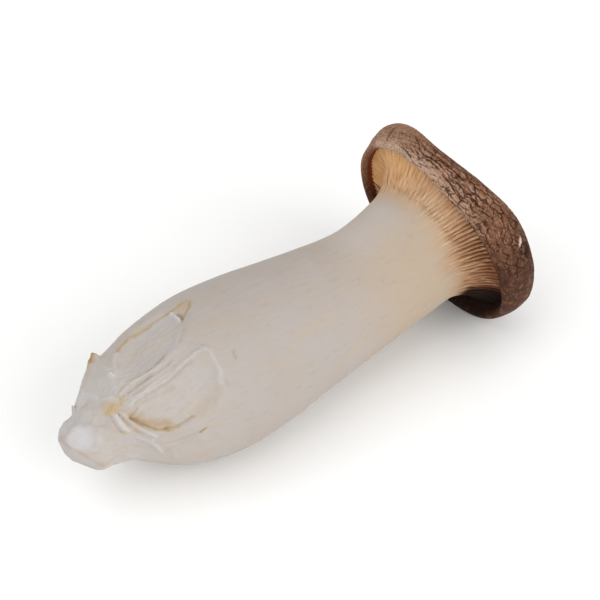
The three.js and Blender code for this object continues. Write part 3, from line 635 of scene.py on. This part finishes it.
def makeCap():
    piece, u, v = rolledGrid("capSkin", cap["columns"], cap["rows"])
    column = np.round(u * cap["columns"]).astype(int) % cap["columns"]
    row = np.round(v * cap["rows"]).astype(int)
    low, high = cap["fineTurns"]
    shares = [0, cap["fineColumns"] * cap["columns"], cap["columns"]]
    turn = np.radians(np.interp(column, shares, [low, high, low + 360]))
    heights, radii = alongCurve(cap["outline"], 4000)
    length = np.concatenate([[0], np.cumsum(np.hypot(np.diff(heights), np.diff(radii)))])
    inner = np.clip(row - 1, 0, None) / (cap["rows"] - 1.0)
    inside = cap["insideRows"]
    rowStops = [0, inside, inside + cap["fineRows"], 1]
    arc = np.interp(inner, rowStops, [0, cap["fineFrom"], cap["fineTo"], length[-1]])
    height = np.interp(arc, length, heights)
    radius = np.where(row == 0, 0.0, np.interp(arc, length, radii))
    smooth = onCap(height, radius, turn)
    degrees = np.degrees(turnGap(turn, 90)) + 90
    outward = arc - cap["rimArc"]

    warpX = grain(smooth, 3.2, 11, 3)
    warpY = grain(smooth, 3.2, 12, 3)
    onSkin = smoothStep(-0.1, 0.7, outward) * smoothStep(7, 13, radius)
    patchy = smoothStep(-0.45, 0.2, grain(smooth, 7, 14, 2))

    # Cells cracked all round, some of the cracks only faint, and a very fine net where the rim bulges
    x = turn / (2 * math.pi) * skin["around"] + 0.4 * warpX
    y = outward / skin["deep"] + 0.55 * warpY

    def cells(finerX, finerY, seed):
        size = (skin["long"] / finerX, skin["deep"] / finerY)
        return cellBorders(x * finerX, y * finerY, size, skin["around"] * finerX, seed)

    border, island = cells(1, 1, 3)
    faintBorder, _ = cells(2, 2, 8)
    netBorder, _ = cells(3, 2.4, 12)
    opened = 0.5 + 0.5 * smoothStep(-0.35, 0.15, grain(smooth, 2.4, 17, 2))
    byRim = smoothStep(50, 85, degrees) * smoothStep(9, 5, outward)
    celled = window(degrees, -8, 14, 78, 112) * (1 - 0.8 * byRim) + 0.12
    celled = np.clip(celled, 0, 1) * onSkin * (0.6 + 0.4 * patchy)
    netted = window(degrees, 82, 104, 128, 150) * smoothStep(14, 9, outward) * onSkin
    patterns = {
        "crack": smoothStep(0.25, 0.05, border + 0.06 * warpX) * celled * opened,
        "faint": smoothStep(0.2, 0.03, faintBorder) * celled * (1 - 0.6 * opened),
        "net": smoothStep(0.2, 0.03, netBorder) * netted,
    }

    # Bark-like wrinkles: wavy lines that run along the rim, come and go, and merge
    alongRim = np.stack([radius * np.cos(turn), radius * np.sin(turn)], axis=-1)

    def wavyLines(spacing, reach, seed):
        bend = grain(np.column_stack([alongRim / reach, outward / (0.45 * reach)]), 1.0, seed, 4)
        comes = grain(np.column_stack([alongRim / 3.6, outward / 1.2]), 1.0, seed + 1, 2)
        phase = outward / spacing + 1.6 * bend + 0.3 * warpY
        gap = np.abs(phase - np.floor(phase) - 0.5) * spacing
        return gap, smoothStep(-0.35, 0.15, comes)

    wrinkled = window(degrees, 24, 66, 118, 146) * smoothStep(13, 7, outward)
    wrinkled = np.clip(wrinkled + 0.15, 0, 1) * onSkin
    wideGap, wideComes = wavyLines(1.9, 11, 31)
    wideComes = wideComes * smoothStep(116, 90, degrees)
    fineGap, fineComes = wavyLines(0.95, 7, 41)
    fineComes = fineComes * (1 - 0.6 * netted)
    patterns["valley"] = smoothStep(0.3, 0.06, wideGap) * wideComes * wrinkled
    patterns["fineValley"] = smoothStep(0.24, 0.05, fineGap) * fineComes * wrinkled
    patterns["ridge"] = smoothStep(0.25, 0.75, wideGap) * wrinkled * (0.35 + 0.65 * patchy)

    lumps = grain(smooth, 9, 15, 3)
    felt = grain(smooth, 0.9, 16, 3)
    sink = skin["sunkAllOver"] + sum(depth * patterns[name] for name, depth in skin["sunk"].items())
    sink = (sink - skin["lumps"] * lumps) * onSkin - skin["felt"] * felt
    dark = sum(depth * patterns[name] for name, depth in skin["dark"].items())
    byShoulder = smoothStep(6, 24, radius)
    paleTo = 8.5 + 3 * smoothStep(70, 95, degrees)
    lowEnd = smoothStep(58, -8, degrees) + smoothStep(160, 220, degrees)
    marks = {
        "crack": np.clip(dark, 0, 1),
        "island": np.clip(0.35 * island * celled + patterns["ridge"], 0, 1),
        "bark": np.column_stack([alongRim / 3.5, arc]) * millimetre,
        "wall": smoothStep(0.15, -0.35, outward),
        "paleRim": window(degrees, 28, 58, 118, 135) * smoothStep(paleTo, 1.5, outward),
        "paleBand": window(degrees, 62, 88, 124, 134) * smoothStep(6.5, 3.0, outward) * onSkin,
        "lowEnd": 0.4 + (lowEnd - 0.4) * byShoulder,
        "upperEnd": window(degrees, 90, 118, 160, 190) * byShoulder,
        # painted shade on the underside of the rim
        "under": window(degrees, -160, -130, -60, -40) * smoothStep(8, 2, outward),
        "nick": np.zeros(len(turn)),
        "flake": np.zeros(len(turn)),
        "fold": np.zeros(len(turn)),
    }
    for name, spot in capSpots.items():
        aside = turnGap(turn, spot["turn"]) * radius
        endways = height - spot["height"] - spot["slant"] * aside
        gap = np.hypot(endways / spot["long"], aside / spot["wide"]) * (1 + 0.45 * warpX)
        marks[name] = smoothStep(1.15, 0.6, gap) * (outward > 0)
        sink = sink + spot["depth"] * marks[name]
    outwardShare = smoothStep(33, 26, radius)
    height = height - sink * outwardShare * (height > 6)
    radius = np.maximum(radius - sink * (1 - outwardShare), 0)
    radius = np.where(row == cap["rows"], 0.0, radius)
    weld(piece, onCap(height, radius, turn), marks)
    return piece


# Materials

def linear(hexCode):
    channels = [int(hexCode[i:i + 2], 16) / 255 for i in (1, 3, 5)]
    return tuple(c / 12.92 if c <= 0.04045 else ((c + 0.055) / 1.055) ** 2.4 for c in channels) + (1.0,)


def newMaterial(name):
    material = bpy.data.materials.new(name)
    material.use_nodes = True
    material.node_tree.nodes.clear()
    return material


def addNode(material, kind, settings=None, **inputs):
    node = material.node_tree.nodes.new(kind)
    for key, value in (settings or {}).items():
        setattr(node, key, value)
    for key, value in inputs.items():
        numbered = key[0] == "i" and key[1:].isdigit()
        socket = node.inputs[int(key[1:]) if numbered else key.replace("_", " ")]
        if isinstance(value, bpy.types.NodeSocket):
            material.node_tree.links.new(value, socket)
        else:
            socket.default_value = value
    return node


def attribute(material, name, output="Fac"):
    return addNode(material, "ShaderNodeAttribute", {"attribute_name": name}).outputs[output]


def patchNoise(material, vector, size, detail=4.0, roughness=0.55):  # size in millimetres
    finer = 1 / (size * millimetre)
    noiseNode = addNode(material, "ShaderNodeTexNoise", Vector=vector, Scale=finer, Detail=detail,
                        Roughness=roughness)
    return noiseNode.outputs["Fac"]


def blend(material, factor, first, second):
    colours = {"data_type": "RGBA"}
    return addNode(material, "ShaderNodeMix", colours, i0=factor, i6=first, i7=second).outputs[2]


def coat(material, factor, under, hexCode):  # one more colour over what is there
    return blend(material, factor, under, linear(hexCode))


def between(material, value, low, high, outLow=0.0, outHigh=1.0):
    smooth = {"interpolation_type": "SMOOTHSTEP"}
    return addNode(material, "ShaderNodeMapRange", smooth, Value=value, From_Min=low, From_Max=high,
                   To_Min=outLow, To_Max=outHigh).outputs[0]


def times(material, first, second):
    return addNode(material, "ShaderNodeMath", {"operation": "MULTIPLY"}, i0=first, i1=second).outputs[0]


def timesPlus(material, first, second, third):
    both = {"operation": "MULTIPLY_ADD"}
    return addNode(material, "ShaderNodeMath", both, i0=first, i1=second, i2=third).outputs[0]


def finishWith(material, **inputs):
    shader = addNode(material, "ShaderNodeBsdfPrincipled", **inputs)
    addNode(material, "ShaderNodeOutputMaterial", Surface=shader.outputs[0])


fleshLook = {
    "base": "#b7b0a9",
    "middle": "#aea6a0",
    "cloud": "#aea39b",
    "warm": "#b5a591",
    "neck": "#b3a08b",
    "neckPatch": "#b0a089",
    "streak": "#9f9085",
    "fresh": "#c3c2c4",
    "yellowAndShade": "#ba9c66",
    "bruiseAndShade": "#99753a",
    # gill colours by side: painted light on the upper gills, painted shade on the lower ones
    "gillTan": {"middle": "#c1a182", "upper": "#c69b73", "shadedLower": "#a78160"},
    "gillBrown": {"middle": "#b8906c", "upper": "#d4a36d", "shadedLower": "#885b3d"},
    "darkThread": "#8f5c34",
    "paleThread": "#dcc09c",
    # painted shade in the grooves between the gill blades
    "groove": "#66391f",
    # painted shade under the cap
    "dusk": "#633620",
    "hollow": "#160b06",
    "roughness": 0.66,
    "specular": 0.16,
    "bump": 0.4,
}


# Raw king oyster flesh: matt and slightly translucent, faintly fibrous along the stem and tan where
# the gills leave it. On the gills it has painted light on the upper side, painted shade on the lower
# side and in the grooves between the blades, and near-black painted shade under the cap.
def fleshMaterial():
    m = newMaterial("rawMushroomFlesh")
    look = fleshLook
    place = addNode(m, "ShaderNodeTexCoord").outputs["Object"]
    lengthwise = addNode(m, "ShaderNodeMapping", Vector=place, Scale=(0.25, 1.0, 1.0)).outputs[0]
    streaks = patchNoise(m, lengthwise, 1.3, 4.0, 0.6)
    clouds = patchNoise(m, place, 13, 3.0)
    warm = patchNoise(m, lengthwise, 4.5, 4.0)
    alongX = addNode(m, "ShaderNodeSeparateXYZ", Vector=place).outputs[0]
    colour = coat(m, between(m, alongX, -0.065, -0.02), linear(look["base"]), look["middle"])
    colour = coat(m, between(m, clouds, 0.4, 0.66, 0, 0.6), colour, look["cloud"])
    colour = coat(m, between(m, warm, 0.5, 0.74, 0, 0.5), colour, look["warm"])
    colour = coat(m, between(m, alongX, 0.004, 0.038, 0, 0.85), colour, look["neck"])
    neckPatches = patchNoise(m, lengthwise, 4, 3.0)
    yellowed = times(m, between(m, alongX, 0.022, 0.046), between(m, neckPatches, 0.42, 0.62, 0.1, 0.6))
    colour = coat(m, yellowed, colour, look["neckPatch"])
    colour = coat(m, between(m, streaks, 0.52, 0.8, 0, 0.35), colour, look["streak"])
    colour = coat(m, times(m, attribute(m, "fresh"), 0.9), colour, look["fresh"])
    # Yellowed and bruised flesh; both marks also carry the painted shadow lines of the torn base.
    colour = coat(m, times(m, attribute(m, "yellowAndShade"), 0.8), colour, look["yellowAndShade"])
    speckle = between(m, patchNoise(m, place, 1.3, 3.0), 0.3, 0.6, 0.82, 1.0)
    bruiseAndShade = times(m, attribute(m, "bruiseAndShade"), speckle)
    colour = coat(m, between(m, bruiseAndShade, 0.0, 1.1, 0, 0.8), colour, look["bruiseAndShade"])

    rise = attribute(m, "rise")
    gillwise = attribute(m, "gillwise", "Vector")
    threads = patchNoise(m, gillwise, 0.48, 3.0, 0.65)
    level = timesPlus(m, threads, 0.24, rise)
    level = timesPlus(m, level, 1.0, -0.06)
    level = timesPlus(m, attribute(m, "blade"), 0.1, level)
    # Painted light on the upper gills and painted shade on the lower ones
    upper = attribute(m, "upper")
    shadedLower = attribute(m, "shadedLower")

    def byTurn(shades):
        return coat(m, shadedLower, coat(m, upper, linear(shades["middle"]), shades["upper"]), shades["shadedLower"])

    tan = byTurn(look["gillTan"])
    brown = byTurn(look["gillBrown"])
    level = timesPlus(m, shadedLower, 0.1, level)
    colour = blend(m, between(m, level, 0.44, 0.8), colour, tan)
    colour = blend(m, between(m, level, 0.76, 1.02), colour, brown)
    band = between(m, level, 0.5, 0.8)
    colour = coat(m, times(m, band, between(m, threads, 0.5, 0.36, 0, 0.5)), colour, look["darkThread"])
    colour = coat(m, times(m, band, between(m, threads, 0.52, 0.66, 0, 0.6)), colour, look["paleThread"])
    # Painted shade in the grooves between the blades, strongest towards the rim and on the lower side
    shaded = times(m, attribute(m, "groove"), between(m, rise, 0.42, 0.74, 0, 0.75))
    shaded = times(m, shaded, between(m, shadedLower, 0.0, 0.9, 0.3, 1.0))
    colour = coat(m, shaded, colour, look["groove"])
    # Painted shade under the cap: dusky brown, then near black on the lowest gills
    underside = attribute(m, "underside")
    dusk = times(m, between(m, underside, 0.0, 0.6, 0, 0.85), between(m, rise, 0.4, 0.6))
    colour = coat(m, dusk, colour, look["dusk"])
    shade = times(m, between(m, underside, 0.25, 0.95), between(m, rise, 0.4, 0.6, 0, 0.97))
    colour = coat(m, shade, colour, look["hollow"])

    height = timesPlus(m, streaks, 0.6, times(m, patchNoise(m, place, 0.5, 3.0), 0.25))
    relief = addNode(m, "ShaderNodeBump", Strength=look["bump"], Distance=0.0003, Height=height).outputs[0]
    finishWith(m, Base_Color=colour, Roughness=look["roughness"], IOR=1.4, Normal=relief,
               Specular_IOR_Level=look["specular"], Subsurface_Weight=0.15,
               Subsurface_Radius=(1.0, 0.55, 0.35), Subsurface_Scale=0.002)
    return m


skinLook = {
    "ground": "#6a442e",
    "cloud": "#7d533a",
    "paleRim": "#c09b81",
    "upperEnd": "#a27b61",
    "paleBand": "#d8b9a3",
    "island": "#b4937b",
    "lowEnd": "#402314",
    "mottle": "#7c5a46",
    "paleDust": "#9c7b67",
    "darkDust": "#2c160c",
    "paleStreak": "#c3a28b",
    "darkStreak": "#4a2917",
    "paleFelt": "#a58877",
    "darkFelt": "#3c2013",
    "crack": "#34180a",
    "fold": "#442718",
    # painted shadow in the nick
    "nick": "#24120a",
    "flake": "#c4b4a6",
    # painted shade under the rim
    "under": "#1e110a",
    "wall": "#7a371b",
    # painted shade on the inner wall at the low end
    "shadedLowWall": "#2e180e",
    "roughness": 0.7,
    "specular": 0.14,
    "bump": 0.5,
}


# King oyster cap skin: dry brown felt, paler on some islands between its cracks and on its wrinkle ridges.
def skinMaterial():
    m = newMaterial("mushroomCapSkin")
    look = skinLook
    place = addNode(m, "ShaderNodeTexCoord").outputs["Object"]
    clouds = patchNoise(m, place, 9, 3.0)
    felt = patchNoise(m, place, 0.8, 5.0, 0.7)
    bark = attribute(m, "bark", "Vector")
    streaks = patchNoise(m, bark, 0.5, 4.0, 0.68)
    crack = attribute(m, "crack")
    lowEnd = attribute(m, "lowEnd")
    colour = coat(m, between(m, clouds, 0.35, 0.65), linear(look["ground"]), look["cloud"])
    colour = coat(m, times(m, attribute(m, "paleRim"), 0.9), colour, look["paleRim"])
    colour = coat(m, times(m, attribute(m, "upperEnd"), 0.75), colour, look["upperEnd"])
    colour = coat(m, times(m, attribute(m, "paleBand"), 0.7), colour, look["paleBand"])
    colour = coat(m, between(m, attribute(m, "island"), 0.1, 1.0, 0, 0.5), colour, look["island"])
    colour = coat(m, between(m, lowEnd, 0.0, 1.0, 0, 0.94), colour, look["lowEnd"])
    mottle = patchNoise(m, place, 2.4, 4.0, 0.62)
    colour = coat(m, times(m, between(m, mottle, 0.47, 0.66, 0, 0.6), lowEnd), colour, look["mottle"])
    fineFelt = patchNoise(m, place, 0.42, 3.0, 0.6)
    colour = coat(m, between(m, fineFelt, 0.52, 0.7, 0, 0.3), colour, look["paleDust"])
    colour = coat(m, between(m, fineFelt, 0.48, 0.32, 0, 0.4), colour, look["darkDust"])
    light = between(m, lowEnd, 0.0, 1.0, 1.0, 0.08)
    colour = coat(m, times(m, between(m, streaks, 0.52, 0.7, 0, 0.55), light), colour, look["paleStreak"])
    colour = coat(m, between(m, streaks, 0.48, 0.3, 0, 0.62), colour, look["darkStreak"])
    colour = coat(m, times(m, between(m, felt, 0.52, 0.74, 0, 0.4), light), colour, look["paleFelt"])
    colour = coat(m, between(m, felt, 0.5, 0.3, 0, 0.5), colour, look["darkFelt"])
    colour = coat(m, between(m, crack, 0.08, 0.85, 0, 0.85), colour, look["crack"])
    colour = coat(m, times(m, attribute(m, "fold"), 0.5), colour, look["fold"])
    # painted shadow in the nick's dent
    colour = coat(m, times(m, attribute(m, "nick"), 0.8), colour, look["nick"])
    colour = coat(m, attribute(m, "flake"), colour, look["flake"])
    # Painted shade on the underside of the rim
    colour = coat(m, times(m, attribute(m, "under"), 0.7), colour, look["under"])
    # The rim's inner wall: reddish skin, turning to near-black painted shade at the low end.
    wallColour = coat(m, between(m, lowEnd, 0.2, 0.8), linear(look["wall"]), look["shadedLowWall"])
    colour = blend(m, times(m, attribute(m, "wall"), 0.95), colour, wallColour)
    height = timesPlus(m, streaks, 0.6, timesPlus(m, felt, 0.4, times(m, crack, -0.5)))
    relief = addNode(m, "ShaderNodeBump", Strength=look["bump"], Distance=0.0003, Height=height).outputs[0]
    finishWith(m, Base_Color=colour, Roughness=look["roughness"], IOR=1.45, Normal=relief,
               Specular_IOR_Level=look["specular"])
    return m


# Camera, floor and light

view = {
    "azimuth": -37,
    "elevation": 45,
    "distance": 492,
    "aim": (84.65, 10.05, 20.0),  # in the grown form's own millimetres
    "lens": 100,
    "sensor": 36,
}
studio = {
    "paper": "#fcfcfb",
    "paperSide": 8,
    "air": "#ffffff",
    "airStrength": 0.78,
    "softboxes": [
        {"azimuth": 12, "elevation": 30, "distance": 1.3, "size": 1.1, "power": 7.4, "colour": "#ffffff"},
        {"azimuth": -95, "elevation": 60, "distance": 1.3, "size": 1.1, "power": 4.6, "colour": "#fbfdff"},
    ],
}


def towards(azimuth, elevation):
    a = math.radians(azimuth)
    e = math.radians(elevation)
    return Vector((math.sin(a) * math.cos(e), -math.cos(a) * math.cos(e), math.sin(e)))


def makeStudio(shift):
    bpy.ops.object.select_all(action="DESELECT")
    bpy.ops.mesh.primitive_plane_add(size=studio["paperSide"], location=(0, 0, 0))
    floor = bpy.context.object
    floor.name = "floor"
    paper = newMaterial("whitePaper")
    finishWith(paper, Base_Color=linear(studio["paper"]), Roughness=0.9)
    floor.data.materials.append(paper)

    back = towards(view["azimuth"], view["elevation"])
    aim = Vector(np.array(view["aim"]) * millimetre) + shift
    bpy.ops.object.camera_add(location=aim + back * view["distance"] * millimetre)
    camera = bpy.context.object
    camera.rotation_euler = (-back).to_track_quat("-Z", "Y").to_euler()
    camera.data.lens = view["lens"]
    camera.data.sensor_width = view["sensor"]
    camera.data.clip_start = 0.01
    bpy.context.scene.camera = camera

    for box in studio["softboxes"]:
        way = towards(box["azimuth"], box["elevation"])
        bpy.ops.object.light_add(type="AREA", location=way * box["distance"])
        light = bpy.context.object
        light.rotation_euler = (-way).to_track_quat("-Z", "Y").to_euler()
        light.data.size = box["size"]
        light.data.energy = box["power"]
        light.data.color = linear(box["colour"])[:3]

    world = bpy.data.worlds.new("studioAir")
    world.use_nodes = True
    background = world.node_tree.nodes["Background"]
    background.inputs["Color"].default_value = linear(studio["air"])
    background.inputs["Strength"].default_value = studio["airStrength"]
    bpy.context.scene.world = world
    bpy.context.scene.view_settings.view_transform = "Standard"


# Putting it together

pieces = {"stem": makeStem()}
print("stem modelled")
pieces["gills"] = makeGills()
print("gills modelled")
pieces["capSkin"] = makeCap()
print("cap modelled")


def moveIntoFrame(made):
    low = np.full(3, 1e9)
    high = np.full(3, -1e9)
    placed = {}
    for name, piece in made.items():
        points = np.zeros(len(piece.data.vertices) * 3)
        piece.data.vertices.foreach_get("co", points)
        placed[name] = points.reshape(-1, 3)
        low = np.minimum(low, placed[name].min(axis=0))
        high = np.maximum(high, placed[name].max(axis=0))
    boxLow, boxHigh = (np.array(corner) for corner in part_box("mushroom"))
    shift = (boxLow + boxHigh) / 2 - (low + high) / 2
    shift[2] = 0
    for name, piece in made.items():
        points = placed[name] + shift
        points[:, 2] = np.maximum(points[:, 2], 0)  # settled flat on the floor
        piece.data.vertices.foreach_set("co", points.ravel())
        piece.data.update()
    return Vector(shift)


shift = moveIntoFrame(pieces)
flesh = fleshMaterial()
finishes = {"stem": flesh, "gills": flesh, "capSkin": skinMaterial()}
for name, piece in pieces.items():
    piece.data.materials.append(finishes[name])
    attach(piece, "root")
    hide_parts("mushroom")
    print(name, len(piece.data.polygons), "faces")
makeStudio(shift)
print("studio set")
